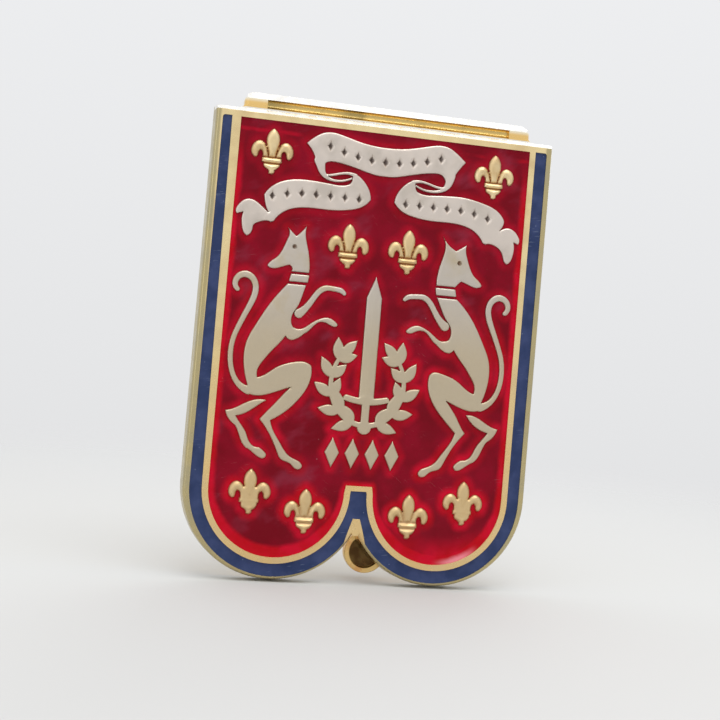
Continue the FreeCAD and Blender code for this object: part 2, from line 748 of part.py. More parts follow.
def fleur_outlines():
    """Flat outlines of the eight fleurs-de-lis by name."""
    found = {}
    for row, (x, z) in FLEUR_PLACES.items():
        for side, sign in (("left", -1), ("right", 1)):
            outline = fleur()
            outline.translate(Vector(sign * x, 0, z))
            found["fleur_" + row + "_" + side] = outline
    return found


def build():
    """Every node of the badge by name."""
    silver = silver_outlines()
    gilt = fleur_outlines()
    webs = [raise_face(face, CELL_FLOOR, WEB_DEPTH) for face in hound_webs()]
    left_webs = [raise_face(mirrored(face), CELL_FLOOR, WEB_DEPTH) for face in hound_webs()]
    nodes = {
        "base_plate": base_plate(),
        "blue_enamel": raise_face(blue_face(), CELL_FLOOR, BLUE_DEPTH),
        "red_enamel": red_enamel(list(silver.values()) + list(gilt.values()), webs + left_webs),
        "hound_right": hound_solid(silver.pop("hound_right"), webs),
        "hound_left": hound_solid(silver.pop("hound_left"), left_webs),
        "ribbon": raise_face(silver.pop("ribbon"), CELL_FLOOR, SILVER_DEPTH).cut(ribbon_marks()),
    }
    for name, outline in silver.items():
        nodes[name] = raise_face(outline, CELL_FLOOR, SILVER_DEPTH)
    for name, outline in gilt.items():
        nodes[name] = fleur_solid(outline)
    nodes["hinge_base"] = hinge_base()
    nodes["hinge_rivet"] = hinge_rivet()
    nodes["brooch_pin"] = brooch_pin()
    nodes["catch_base"] = catch_base()
    nodes["catch_sleeve"] = catch_sleeve()
    return nodes


os.makedirs("parts", exist_ok=True)
for name, shape in build().items():
    print(name, len(shape.Solids), "solids", round(shape.Volume, 3), "mm3", "valid", shape.isValid())
    shape.exportStep("parts/" + name + ".step")
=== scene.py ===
import math

import bmesh
import bpy
from mathutils import Matrix, Vector, geometry, kdtree


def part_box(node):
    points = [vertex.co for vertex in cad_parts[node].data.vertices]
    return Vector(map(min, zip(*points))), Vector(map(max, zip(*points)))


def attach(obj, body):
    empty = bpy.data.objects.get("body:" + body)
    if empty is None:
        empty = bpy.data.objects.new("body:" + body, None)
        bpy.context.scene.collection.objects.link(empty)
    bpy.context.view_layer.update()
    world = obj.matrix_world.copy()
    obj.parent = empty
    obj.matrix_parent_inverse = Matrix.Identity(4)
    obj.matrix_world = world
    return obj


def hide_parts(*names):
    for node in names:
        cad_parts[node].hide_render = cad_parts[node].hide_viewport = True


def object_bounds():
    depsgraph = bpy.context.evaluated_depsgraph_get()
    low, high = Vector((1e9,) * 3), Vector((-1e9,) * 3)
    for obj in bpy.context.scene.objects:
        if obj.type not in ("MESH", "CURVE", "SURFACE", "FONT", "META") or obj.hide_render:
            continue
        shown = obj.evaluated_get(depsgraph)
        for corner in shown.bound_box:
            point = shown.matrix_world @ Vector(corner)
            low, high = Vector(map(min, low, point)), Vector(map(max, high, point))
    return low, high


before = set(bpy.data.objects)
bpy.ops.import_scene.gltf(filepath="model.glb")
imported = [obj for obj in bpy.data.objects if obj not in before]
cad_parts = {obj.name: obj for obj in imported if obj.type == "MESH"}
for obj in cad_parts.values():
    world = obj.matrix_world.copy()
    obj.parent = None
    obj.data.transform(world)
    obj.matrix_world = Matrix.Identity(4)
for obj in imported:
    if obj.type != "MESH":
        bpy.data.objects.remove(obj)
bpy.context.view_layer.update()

# Enamelled cap badge. Lengths are in millimetres unless a name says otherwise; MM turns them into metres.
# The badge stands upright: its front faces -Y, and depths are measured forward from its flat back at y = 0.
MM = 0.001
BODY = "badge"
SIDES = {"left": -1, "right": 1}

# Depths of the faces that the CAD model holds.
CELL_FLOOR = 1.05
RED_DEPTH = 1.65
BLUE_DEPTH = 1.68
PLATE_DEPTH = 1.8
SILVER_DEPTH = 1.86

# Rounding of the edges of the plate and of the pin's fittings.
EDGE_ROUND = 0.05

# Silver charges: how far their edges are rounded, the hounds' eyes and the ribbon's incised lozenges.
SILVER_ROUND = 0.13
EYE_X = 7.26
EYE_Z = 9.1
EYE_RADIUS = 0.22
EYE_RINGS = (0.06, 0.14, EYE_RADIUS)
EYE_DEPTH = 0.22
MARK_DEPTH = 0.3
MARK_HALF = (0.36, 0.5)

# Sword: the half width of its blade, the heights of its ends, and how far its edges fall from its ridge.
BLADE_HALF = 0.7
BLADE_Z = (-3.1, 7.0)
BLADE_FALL = 0.1

# Gilt fleurs-de-lis: how far they rise above the middle of their cross-band, the depth of their outline, how
# far their pillows bulge from it, how wide the rounding is, half the band's height, and each row's wear.
FLEUR_RISE = 2.72
FLEUR_FOOT = 1.62
FLEUR_CROWN = 0.36
FLEUR_ROUND = 0.5
FLEUR_BAND = 0.26
FLEUR_WEAR = {"top": 0.0, "middle": 0.0, "outer": 0.2, "inner": 0.03}

# Lobes of the plate, which divide its outer rim from its inner wall, and the web above its notch, which
# counts as wall. Then the plate's top and bevel, and its rod. A pair marks where a tone begins and ends.
LOBE_X = 7.0
LOBE_Z = -11.45
RIM_RADIUS = 7.3
WEB_HALF = (1.5, 1.1)
WEB_FOOT = (-16.0, -15.4)
# The plate's top, its bevel and its rod below also place the plate's painted highlights and shade.
PLATE_TOP = 20.42
PLATE_BEVEL = 0.46
ROD_X = 0.24
ROD_DEPTH = 1.35
ROD_BEVEL_Z = 21.2
GROOVE_HALF = 10.7
GROOVE_Z = 20.85
GROOVE_RADIUS = 0.36

# Catch: the line of its pin, and the hollow of its dish, which shows through the notch and holds painted
# shade.
PIN_X = 1.4
CATCH_Z = -16.7
DISH_HOLLOW = 1.4
DISH_FLOOR = 0.45

# Red enamel: the painted bright streak of light below the top wall, and the painted glint beside the right
# lobe's wall.
STREAK_Z = 18.6
GLINT_X = 9.3
GLINT_Z = -16.9

# Camera: turned to the badge's left and rolled, level with the origin.
CAMERA_YAW = -11.67
CAMERA_ROLL = 4.74
CAMERA_AIM_X = -0.834
CAMERA_DISTANCE = 100
CAMERA_LENS = 58.42
CAMERA_SENSOR = 36
CAMERA_CLIP = 5

# Floor: a pale disc just under the badge that fades into the pale surroundings.
FLOOR_GAP = 0.1
FLOOR_RADIUS = 260
FLOOR_FADE = (30, 170)
FLOOR_TONE = (0.62, 0.62, 0.61)

# Lamps: name, place, size, power in watts and tint. Each one faces the origin.
LAMPS = (
    ("window", (30, -150, 400), 340, 0.9, (1.0, 0.99, 0.97)),
    ("fill", (-320, -260, 60), 260, 0.12, (0.96, 0.98, 1.0)),
    ("back_fill", (200, 380, 220), 300, 0.4, (1.0, 1.0, 1.0)),
)
SURROUNDINGS_LOW = (0.66, 0.66, 0.66, 1)
SURROUNDINGS_HIGH = (0.92, 0.93, 0.95, 1)

# Tones of the materials. Where an entry holds two tones, the surface runs from the one to the other.
PLATE_TONES = {
    "wall_low": (0.80, 0.57, 0.26),
    "wall_high": (0.91, 0.74, 0.40),
    "wall_dull": (0.76, 0.57, 0.30),
    "rim": ((0.52, 0.43, 0.22), (0.46, 0.40, 0.24)),
    # Rod: orange gold low down, turning to a pale painted highlight towards its top.
    "rod": ((0.90, 0.60, 0.22), (0.97, 0.88, 0.66)),
    # Groove: a painted lighter reflection low in it, darkening to painted shade at its top.
    "groove": ((0.95, 0.66, 0.22), (0.58, 0.42, 0.16)),
    "stain": (0.36, 0.27, 0.10),
    # Bevel: a near-white painted highlight on the upward bevels of the plate and of the rod.
    "bevel": (0.95, 0.92, 0.86),
}
FITTING_TONES = {
    "brass": ((0.78, 0.55, 0.22), (0.70, 0.38, 0.14)),
    # Hollow: painted shade inside the catch's dish.
    "hollow": ((0.09, 0.05, 0.015), (0.035, 0.017, 0.006)),
}
RED_TONES = {
    "deep": ((0.165, 0.001, 0.008), (0.235, 0.0015, 0.014)),
    # Haze: a painted hazy reflection.
    "reflected_haze": (0.245, 0.026, 0.052),
    # Bright: the painted glow of light beside the metal.
    "bright": ((0.46, 0.001, 0.008), (0.56, 0.002, 0.022)),
    "glint": (0.90, 0.36, 0.42),
    "mark": (0.6, 0.35, 0.36),
}
BLUE_TONES = {
    "body": ((0.017, 0.033, 0.104), (0.036, 0.055, 0.148)),
    "mark": (0.30, 0.36, 0.48),
}


# --- Outlines and fine meshes ---

def face_loops(node, depth):
    """Closed outlines of a CAD node's flat face at a depth, each a list of (x, z)."""
    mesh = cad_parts[node].data
    following = {}
    for polygon in mesh.polygons:
        corners = [mesh.vertices[i].co / MM for i in polygon.vertices]
        if any(abs(corner.y + depth) > 0.002 for corner in corners):
            continue
        places = [(round(corner.x, 4), round(corner.z, 4)) for corner in corners]
        for start, end in zip(places, places[1:] + places[:1]):
            if start in following.get(end, ()):
                following[end].discard(start)
            elif start != end:
                following.setdefault(start, set()).add(end)
    loops = []
    while any(following.values()):
        start = next(place for place, ends in following.items() if ends)
        loop = [start]
        place = following[start].pop()
        while place != start:
            loop.append(place)
            place = following[place].pop()
        loops.append(loop)
    return loops


def loop_area(loop):
    """Area inside a loop, negative for one that runs clockwise."""
    return sum(a[0] * b[1] - b[0] * a[1] for a, b in zip(loop, loop[1:] + loop[:1])) / 2


def split_run(points, step, closed=True):
    """The same line with no stretch longer than a step, and no two points almost in one place."""
    ends = points[1:] + points[:1] if closed else points[1:]
    result = []
    for start, end in zip(points, ends):
        length = math.dist(start, end)
        if length < 0.012:
            continue
        count = max(1, math.ceil(length / step))
        for i in range(count):
            share = i / count
            x = start[0] + (end[0] - start[0]) * share
            z = start[1] + (end[1] - start[1]) * share
            result.append((x, z))
    if not closed:
        result.append(points[-1])
    return result


def distance_to(lines, closed=True):
    """Function that gives the distance from a place to the nearest of some lines."""
    samples = [place for line in lines for place in split_run(line, 0.025, closed)]
    tree = kdtree.KDTree(len(samples))
    for i, (x, z) in enumerate(samples):
        tree.insert((x, z, 0), i)
    tree.balance()
    return lambda x, z: tree.find((x, z, 0))[2]


def ring_points(loop, inset):
    """Points at an inset from a loop, on both of its sides."""
    found = []
    for before, place, after in zip(loop[-1:] + loop[:-1], loop, loop[1:] + loop[:1]):
        along = Vector((after[0] - before[0], after[1] - before[1]))
        if along.length < 1e-6:
            continue
        along.normalize()
        for side in (1, -1):
            found.append((place[0] - side * along.y * inset, place[1] + side * along.x * inset))
    return found


def grid_points(loops, spacing):
    """Even points over the whole width and height of some loops."""
    places = [place for loop in loops for place in loop]
    low_x = min(x for x, z in places)
    high_x = max(x for x, z in places)
    low_z = min(z for x, z in places)
    high_z = max(z for x, z in places)
    row_step = spacing * math.sqrt(3) / 2
    for row in range(int((high_z - low_z) / row_step) + 1):
        for column in range(int((high_x - low_x) / spacing) + 1):
            yield low_x + (column + row % 2 / 2) * spacing, low_z + row * row_step


def triangulate(places, edges, outlines):
    """Places and triangles inside an odd number of outlines, which leaves their holes open."""
    result = geometry.delaunay_2d_cdt([Vector(place) for place in places], edges, outlines, 1, 1e-6)
    kept = [triangle for triangle, owners in zip(result[2], result[5]) if len(owners) % 2]
    used = sorted({i for triangle in kept for i in triangle})
    order = {old: new for new, old in enumerate(used)}
    triangles = [tuple(order[i] for i in triangle) for triangle in kept]
    return [tuple(result[0][i]) for i in used], triangles


def relief(name, loops, spacing, insets, height, creases=(), attributes=()):
    """Closed piece on the cells' floor, with a fine front over the loops.

    The front is as high as a function of the place and of its distance from the loops. Creases are lines
    that its edges follow, and attributes are numbers that the mesh holds for its material.
    """
    loops = [loop if loop_area(loop) > 0 else loop[::-1] for loop in loops]
    loops = [split_run(loop, spacing * 0.8) for loop in loops]
    creases = [split_run(line, spacing * 0.8, False) for line in creases]
    edge_distance = distance_to(loops)
    places = []
    outlines = []
    edges = []
    for loop in loops:
        first = len(places)
        places.extend(loop)
        outlines.append(list(range(first, first + len(loop))))
    back_places, back_triangles = triangulate(places, edges, outlines)
    for line in creases:
        first = len(places)
        places.extend(line)
        edges.extend((first + i, first + i + 1) for i in range(len(line) - 1))
    free = []
    for inset in insets:
        for loop in loops:
            free.extend(p for p in ring_points(loop, inset) if edge_distance(*p) > inset * 0.96)
    clear = max(insets) + spacing * 0.45
    free.extend(p for p in grid_points(loops, spacing) if edge_distance(*p) > clear)
    if creases:
        crease_distance = distance_to(creases, False)
        free = [p for p in free if crease_distance(*p) > spacing * 0.35]
    front_places, front_triangles = triangulate(places + free, edges, outlines)

    made = bmesh.new()
    front = []
    for x, z in front_places:
        front.append(made.verts.new((x * MM, -height(x, z, edge_distance(x, z)) * MM, z * MM)))
    back = [made.verts.new((x * MM, -CELL_FLOOR * MM, z * MM)) for x, z in back_places]
    back_at = {(round(x, 5), round(z, 5)): vertex for (x, z), vertex in zip(back_places, back)}
    sides = set()
    for triangle in front_triangles:
        made.faces.new([front[i] for i in triangle])
        for a, b in zip(triangle, triangle[1:] + triangle[:1]):
            if (b, a) in sides:
                sides.discard((b, a))
            else:
                sides.add((a, b))
    for a, b, c in back_triangles:
        made.faces.new((back[c], back[b], back[a]))
    for a, b in sorted(sides):
        foot_a = back_at[tuple(round(value, 5) for value in front_places[a])]
        foot_b = back_at[tuple(round(value, 5) for value in front_places[b])]
        made.faces.new((front[b], front[a], foot_a, foot_b))
    mesh = bpy.data.meshes.new(name)
    made.to_mesh(mesh)
    made.free()
    for attribute, function in attributes:
        layer = mesh.attributes.new(attribute, "FLOAT", "POINT")
        for vertex in mesh.vertices:
            layer.data[vertex.index].value = function(vertex.co.x / MM, vertex.co.z / MM)
    return placed(name, mesh)


def placed(name, mesh, smooth_angle=50):
    """Object for a mesh, smooth except at its sharp edges."""
    mesh.shade_smooth()
    mesh.set_sharp_from_angle(angle=math.radians(smooth_angle))
    piece = bpy.data.objects.new(name, mesh)
    bpy.context.scene.collection.objects.link(piece)
    return piece


def finish_piece(piece, material, body, slot, *nodes):
    """Gives a piece its material and its body, and hides the CAD nodes that it stands for. Its slot is not
    used.
    """
    piece.data.materials.clear()
    piece.data.materials.append(material)
    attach(piece, body)
    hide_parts(*nodes)


def softened(name, node):
    """Copy of a CAD node with its edges rounded."""
    made = bmesh.new()
    made.from_mesh(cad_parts[node].data)
    bmesh.ops.remove_doubles(made, verts=made.verts, dist=0.0002 * MM)
    bmesh.ops.dissolve_limit(made, angle_limit=math.radians(0.3), verts=made.verts, edges=made.edges)
    mesh = bpy.data.meshes.new(name)
    made.to_mesh(mesh)
    made.free()
    piece = placed(name, mesh, 32)
    bevel = piece.modifiers.new("rounding", "BEVEL")
    bevel.width = EDGE_ROUND * MM
    bevel.segments = 2
    bevel.limit_method = "ANGLE"
    bevel.angle_limit = math.radians(32)
    bevel.miter_outer = "MITER_ARC"
    normals = piece.modifiers.new("normals", "WEIGHTED_NORMAL")
    normals.keep_sharp = True
    return piece


# --- Materials ---

class Finish:
    """A node material while it is made: its shader, and short ways to add nodes measured in millimetres."""

    def __init__(self, name, **values):
        self.material = bpy.data.materials.new(name)
        self.material.use_nodes = True
        self.tree = self.material.node_tree
        self.shader = self.tree.nodes["Principled BSDF"]
        for socket, value in values.items():
            self.shader.inputs[socket.replace("_", " ")].default_value = value
        coordinates = self.tree.nodes.new("ShaderNodeTexCoord")
        scale = self.tree.nodes.new("ShaderNodeVectorMath")
        scale.operation = "SCALE"
        scale.inputs["Scale"].default_value = 1 / MM
        self.tree.links.new(coordinates.outputs["Object"], scale.inputs[0])
        self.place = scale.outputs["Vector"]

    def link(self, source, target):
        """Feeds a socket from another, or sets it to a plain value."""
        if isinstance(source, bpy.types.NodeSocket):
            self.tree.links.new(source, target)
        elif isinstance(source, tuple) and len(source) == 3 and target.type == "RGBA":
            target.default_value = (*source, 1)
        else:
            target.default_value = source

    def math(self, operation, a, b=0.0):
        """Arithmetic on two numbers."""
        node = self.tree.nodes.new("ShaderNodeMath")
        node.operation = operation
        self.link(a, node.inputs[0])
        self.link(b, node.inputs[1])
        return node.outputs[0]

    def ramp(self, value, low, high, to_low=0.0, to_high=1.0):
        """Smooth change between two numbers as a value goes from low to high."""
        node = self.tree.nodes.new("ShaderNodeMapRange")
        node.interpolation_type = "SMOOTHSTEP"
        self.link(value, node.inputs["Value"])
        node.inputs["From Min"].default_value = low
        node.inputs["From Max"].default_value = high
        node.inputs["To Min"].default_value = to_low
        node.inputs["To Max"].default_value = to_high
        return node.outputs["Result"]

    def stretched(self, sizes, turn=0.0):
        """Place divided by a size along each axis, after a turn in degrees about the viewing axis."""
        turned = self.tree.nodes.new("ShaderNodeVectorRotate")
        turned.rotation_type = "Y_AXIS"
        turned.inputs["Angle"].default_value = math.radians(turn)
        self.link(self.place, turned.inputs["Vector"])
        divided = self.tree.nodes.new("ShaderNodeVectorMath")
        divided.operation = "DIVIDE"
        self.link(turned.outputs["Vector"], divided.inputs[0])
        divided.inputs[1].default_value = sizes
        return divided.outputs["Vector"]

    def noise(self, size, detail=3.0, place=None):
        """Cloudy noise from 0 to 1 whose patches are about a size across."""
        node = self.tree.nodes.new("ShaderNodeTexNoise")
        node.inputs["Scale"].default_value = 1 / size
        node.inputs["Detail"].default_value = detail
        self.link(place or self.place, node.inputs["Vector"])
        return node.outputs["Fac"]

    def specks(self, size, radius):
        """Small spots, one in each cell of a size, as a mask."""
        node = self.tree.nodes.new("ShaderNodeTexVoronoi")
        node.inputs["Scale"].default_value = 1 / size
        self.link(self.place, node.inputs["Vector"])
        return self.ramp(node.outputs["Distance"], radius, radius * 0.5)

    def scratches(self, turn, width=0.05, length=1.6, amount=0.715):
        """Thin broken lines that run one way, as a mask."""
        lines = self.noise(1, 2.0, self.stretched((length, 1, width), turn))
        patches = self.noise(3.5, 1.0)
        return self.math("MULTIPLY", self.ramp(lines, amount, amount + 0.05), self.ramp(patches, 0.5, 0.62))

    def mix(self, share, first, second):
        """Colour between two colours."""
        node = self.tree.nodes.new("ShaderNodeMix")
        node.data_type = "RGBA"
        self.link(share, node.inputs["Factor"])
        self.link(first, node.inputs["A"])
        self.link(second, node.inputs["B"])
        return node.outputs["Result"]

    def attribute(self, name):
        """Number that the mesh holds at each of its points."""
        node = self.tree.nodes.new("ShaderNodeAttribute")
        node.attribute_name = name
        return node.outputs["Fac"]

    def parts(self):
        """The place's x, y and z in millimetres."""
        node = self.tree.nodes.new("ShaderNodeSeparateXYZ")
        self.link(self.place, node.inputs[0])
        return node.outputs["X"], node.outputs["Y"], node.outputs["Z"]

    def all_of(self, *masks):
        """Mask that is full only where every one of some masks is."""
        result = masks[0]
        for mask in masks[1:]:
            result = self.math("MULTIPLY", result, mask)
        return result

    def away_from(self, across, along):
        """Distance from the line where both of two numbers are zero."""
        squares = self.math("ADD", self.math("POWER", across, 2.0), self.math("POWER", along, 2.0))
        return self.math("SQRT", squares)

    def colour(self, value):
        """Sets the surface's colour."""
        self.link(value, self.shader.inputs["Base Color"])

    def roughness(self, value):
        """Sets the surface's roughness."""
        self.link(value, self.shader.inputs["Roughness"])

    def bump(self, height, depth):
        """Adds fine relief, with its depth in millimetres."""
        node = self.tree.nodes.new("ShaderNodeBump")
        node.inputs["Strength"].default_value = 1.0
        node.inputs["Distance"].default_value = depth * MM
        self.link(height, node.inputs["Height"])
        self.link(node.outputs["Normal"], self.shader.inputs["Normal"])


def metal(name, tone, dull, rough, grain=0.004, shade=None, shade_depths=(1.8, 1.66), darker_below=None):
    """Plated metal: a tone that wears to a duller one, with fine scratches.

    A shade sets in between two depths, for its hollows, and between two heights it turns darker towards the
    dull tone, lower down.
    """
    made = Finish(name, Metallic=1.0)
    _, y, z = made.parts()
    worn = made.ramp(made.noise(2.6, 4.0), 0.45, 0.7)
    if darker_below:
        # Darker towards the bottom, between two heights.
        worn = made.math("MAXIMUM", worn, made.ramp(z, *darker_below, 0.0, 0.9))
    body = made.mix(worn, tone, dull)
    if shade:
        body = made.mix(made.ramp(made.math("MULTIPLY", y, -1.0), *shade_depths), body, shade)
    made.colour(body)
    scratch = made.math("MAXIMUM", made.scratches(24), made.scratches(-52))
    base_rough = made.ramp(made.noise(0.7, 3.0), 0.3, 0.7, rough * 0.8, rough * 1.25)
    made.roughness(made.math("ADD", base_rough, made.math("MULTIPLY", scratch, 0.12)))
    height = made.math("SUBTRACT", made.noise(0.12, 4.0), made.math("MULTIPLY", scratch, 0.6))
    made.bump(height, grain)
    return made.material


def plate_material():
    """Gilt plate: pale walls, a duller worn rim, painted highlights on the bevels and the rod's top, and
    deep gold in the rod's groove, with painted shade at its top and a painted reflection low in it.
    """
    made = Finish("gilt_plate", Metallic=1.0)
    x, y, z = made.parts()
    across = made.math("SUBTRACT", made.math("ABSOLUTE", x), LOBE_X)
    down = made.math("MINIMUM", made.math("SUBTRACT", z, LOBE_Z), 0.0)
    away = made.math("ADD", made.away_from(across, down), made.math("MULTIPLY", made.noise(1.4), 0.15))
    web = made.all_of(made.ramp(made.math("ABSOLUTE", x), *WEB_HALF), made.ramp(z, *WEB_FOOT))
    rim = made.math("SUBTRACT", made.ramp(away, RIM_RADIUS, RIM_RADIUS + 0.2), web)
    patch = made.ramp(made.noise(2.2, 5.0), 0.35, 0.75)
    front = made.ramp(y, -0.3, -0.5)
    pale = made.mix(made.ramp(z, -12.0, 12.0), PLATE_TONES["wall_low"], PLATE_TONES["wall_high"])
    wall = made.mix(patch, pale, PLATE_TONES["wall_dull"])
    edge = made.mix(patch, *PLATE_TONES["rim"])
    tone = made.mix(rim, wall, edge)

    on_rod = made.math("MULTIPLY", front, made.ramp(z, PLATE_TOP, PLATE_TOP + 0.06))
    # Painted highlight: the rod grows paler towards its top.
    rod = made.mix(made.ramp(z, GROOVE_Z, GROOVE_Z + 0.4), *PLATE_TONES["rod"])
    tone = made.mix(on_rod, tone, rod)
    along = made.math("ABSOLUTE", made.math("SUBTRACT", x, ROD_X))
    behind = made.math("MAXIMUM", made.math("ADD", y, ROD_DEPTH), 0.0)
    hollow = made.away_from(made.math("SUBTRACT", z, GROOVE_Z), behind)
    groove = made.all_of(
        made.ramp(along, GROOVE_HALF + 0.03, GROOVE_HALF - 0.03),
        made.ramp(hollow, GROOVE_RADIUS + 0.06, GROOVE_RADIUS + 0.02),
        on_rod,
    )
    # Painted light and shade in the groove: bright gold low down, dark gold at its top.
    deep = made.mix(made.ramp(z, GROOVE_Z - 0.3, GROOVE_Z + 0.32), *PLATE_TONES["groove"])
    stains = made.math("MAXIMUM", made.ramp(made.noise(1.8, 4.0), 0.52, 0.72), made.ramp(x, -7.5, -10.4))
    stained = made.mix(made.math("MULTIPLY", stains, 0.75), deep, PLATE_TONES["stain"])
    tone = made.mix(groove, tone, stained)
    # Painted highlight: the upward bevels of the plate's top and of the rod are coloured near white.
    bevel_foot = PLATE_TOP - PLATE_BEVEL - 0.01
    plate_bevel_highlight = made.all_of(
        made.ramp(z, bevel_foot, bevel_foot + 0.05),
        made.ramp(z, PLATE_TOP + 0.06, PLATE_TOP),
    )
    rod_bevel_highlight = made.ramp(z, ROD_BEVEL_Z, ROD_BEVEL_Z + 0.05)
    bevel_highlight = made.math("MULTIPLY", made.math("MAXIMUM", rod_bevel_highlight, plate_bevel_highlight), front)
    made.colour(made.mix(bevel_highlight, tone, PLATE_TONES["bevel"]))
    scratch = made.math("MAXIMUM", made.scratches(18), made.scratches(-61))
    rough = made.ramp(made.noise(0.8, 3.0), 0.3, 0.7, 0.2, 0.34)
    made.roughness(made.math("ADD", rough, made.math("MULTIPLY", scratch, 0.12)))
    relief_height = made.math("SUBTRACT", made.noise(0.25, 3.0), made.math("MULTIPLY", scratch, 0.6))
    made.bump(made.math("MULTIPLY", relief_height, made.math("SUBTRACT", 1.0, bevel_highlight)), 0.004)
    return made.material


def fitting_material():
    """Toned brass of the pin's fittings, with painted shade making the hollow of the catch's dish near
    black.
    """
    made = Finish("gilt_fittings", Metallic=1.0)
    x, y, z = made.parts()
    away = made.away_from(made.math("SUBTRACT", x, PIN_X), made.math("SUBTRACT", z, CATCH_Z))
    # Painted shade: the hollow of the catch's dish is coloured near black.
    hollow = made.all_of(
        made.ramp(away, DISH_HOLLOW + 0.05, DISH_HOLLOW - 0.1),
        made.ramp(y, DISH_FLOOR + 0.05, DISH_FLOOR - 0.01),
    )
    worn = made.ramp(made.noise(1.3, 4.0), 0.42, 0.62)
    tone = made.mix(worn, *FITTING_TONES["brass"])
    made.colour(made.mix(hollow, tone, made.mix(worn, *FITTING_TONES["hollow"])))
    made.roughness(made.ramp(made.noise(0.7, 3.0), 0.3, 0.7, 0.24, 0.42))
    made.bump(made.noise(0.2, 4.0), 0.008)
    return made.material


def red_material():
    """Translucent red enamel, deep in the open, with a painted glow of light beside the metal, painted hazy
    reflections, a painted glint, and scratches.
    """
    made = Finish("red_enamel", Metallic=0.0, Specular_IOR_Level=0.1)
    x, _, z = made.parts()
    ragged = made.math("MULTIPLY", made.math("SUBTRACT", made.noise(0.9, 3.0), 0.5), 0.25)
    wall = made.math("ADD", made.attribute("wall_distance"), ragged)
    charge = made.math("ADD", made.attribute("charge_distance"), ragged)
    # Painted light: a lit patch beside the lowest walls on the right.
    low_wall = made.all_of(made.ramp(z, -13.5, -16.5), made.ramp(wall, 3.2, 0.8), made.ramp(x, 1.0, 4.0))
    lit = made.math("MULTIPLY", low_wall, made.ramp(made.noise(2.6, 3.0), 0.3, 0.6, 0.5, 1.0))
    glint = made.away_from(made.math("SUBTRACT", x, GLINT_X), made.math("SUBTRACT", z, GLINT_Z))
    # The painted glow beside the charges grows stronger towards the bottom.
    low = made.ramp(z, 17.0, -10.0, 0.4, 1.0)
    strength = made.math("MULTIPLY", low, made.ramp(made.noise(4.0, 2.0), 0.35, 0.6, 0.45, 1.0))
    peak = made.all_of(made.ramp(made.math("ABSOLUTE", x), 3.2, 2.2), made.ramp(z, -14.5, -12.5, 0.0, 0.15))
    narrowed = made.math("ADD", wall, made.math("ADD", made.ramp(z, -17.0, -10.5, 0.0, 0.5), peak))
    # Painted shade: the glow beside the wall fades out under the top wall, which leaves the enamel dark
    # there.
    beside_wall = made.math("MULTIPLY", made.ramp(narrowed, 1.2, 0.7), made.ramp(z, 18.9, 14.0, 0.05, 1.0))
    beside_charge = made.math("MULTIPLY", made.ramp(charge, 0.85, 0.05), strength)
    # A painted streak of light below the top wall.
    off_streak = made.math("ABSOLUTE", made.math("SUBTRACT", z, made.math("ADD", ragged, STREAK_Z)))
    broken = made.ramp(made.noise(3.0, 3.0), 0.4, 0.6, 0.05, 0.5)
    streak = made.all_of(made.ramp(off_streak, 0.28, 0.05), broken)
    # Painted glow of light reflected from the metal beside the enamel.
    painted_glow = made.math("MAXIMUM", made.math("MAXIMUM", beside_wall, beside_charge), streak)
    painted_glow = made.math("MAXIMUM", painted_glow, made.math("MULTIPLY", lit, 0.9))
    deep = made.mix(made.ramp(made.noise(3.2, 4.0), 0.35, 0.68), *RED_TONES["deep"])
    # Painted hazy reflection in patches, stronger in the upper half and on the left.
    reflected_haze = made.ramp(made.noise(2.3, 3.0, made.stretched((1.4, 1, 0.8), 30)), 0.5, 0.74, 0.0, 0.6)
    reflected_haze_strength = made.math("MAXIMUM", made.ramp(z, -4.0, 6.0, 0.1, 1.0), made.ramp(x, -1.0, -4.0))
    with_reflected_haze = made.mix(made.math("MULTIPLY", reflected_haze, reflected_haze_strength), deep, RED_TONES["reflected_haze"])
    bright = made.mix(made.ramp(made.noise(2.0, 2.0), 0.35, 0.65), *RED_TONES["bright"])
    body = made.mix(painted_glow, with_reflected_haze, bright)
    rosy = made.all_of(made.ramp(wall, 0.6, 0.15), made.ramp(glint, 2.4, 0.4, 0.0, 0.65))
    body = made.mix(rosy, body, RED_TONES["glint"])
    scratch = made.math("MAXIMUM", made.scratches(12, 0.035), made.scratches(-38, 0.03, 1.2))
    dust = made.math("MULTIPLY", made.specks(0.9, 0.09), made.ramp(made.noise(2.5, 1.0), 0.55, 0.65))
    mark = made.math("MAXIMUM", made.math("MULTIPLY", scratch, 0.22), made.math("MULTIPLY", dust, 0.2))
    made.colour(made.mix(mark, body, RED_TONES["mark"]))
    rough = made.ramp(made.noise(1.1), 0.3, 0.7, 0.1, 0.2)
    made.roughness(made.math("ADD", rough, made.math("MULTIPLY", mark, 0.5)))
    made.bump(made.math("SUBTRACT", made.noise(0.9, 2.0), made.math("MULTIPLY", scratch, 0.25)), 0.012)
    return made.material


def blue_material():
    """Opaque blue enamel, mottled, with light streaks."""
    made = Finish("blue_enamel", Metallic=0.0, Specular_IOR_Level=0.25)
    body = made.mix(made.ramp(made.noise(1.6, 4.0), 0.35, 0.7), *BLUE_TONES["body"])
    streak = made.math("MAXIMUM", made.scratches(8, 0.06, 0.9, 0.66), made.specks(0.8, 0.07))
    mark = made.math("MULTIPLY", streak, 0.4)
    made.colour(made.mix(mark, body, BLUE_TONES["mark"]))
    rough = made.ramp(made.noise(0.9), 0.3, 0.7, 0.12, 0.24)
    made.roughness(made.math("ADD", rough, made.math("MULTIPLY", mark, 0.6)))
    made.bump(made.math("SUBTRACT", made.noise(0.8, 2.0), made.math("MULTIPLY", streak, 0.25)), 0.01)
    return made.material


# --- Pieces on the front ---

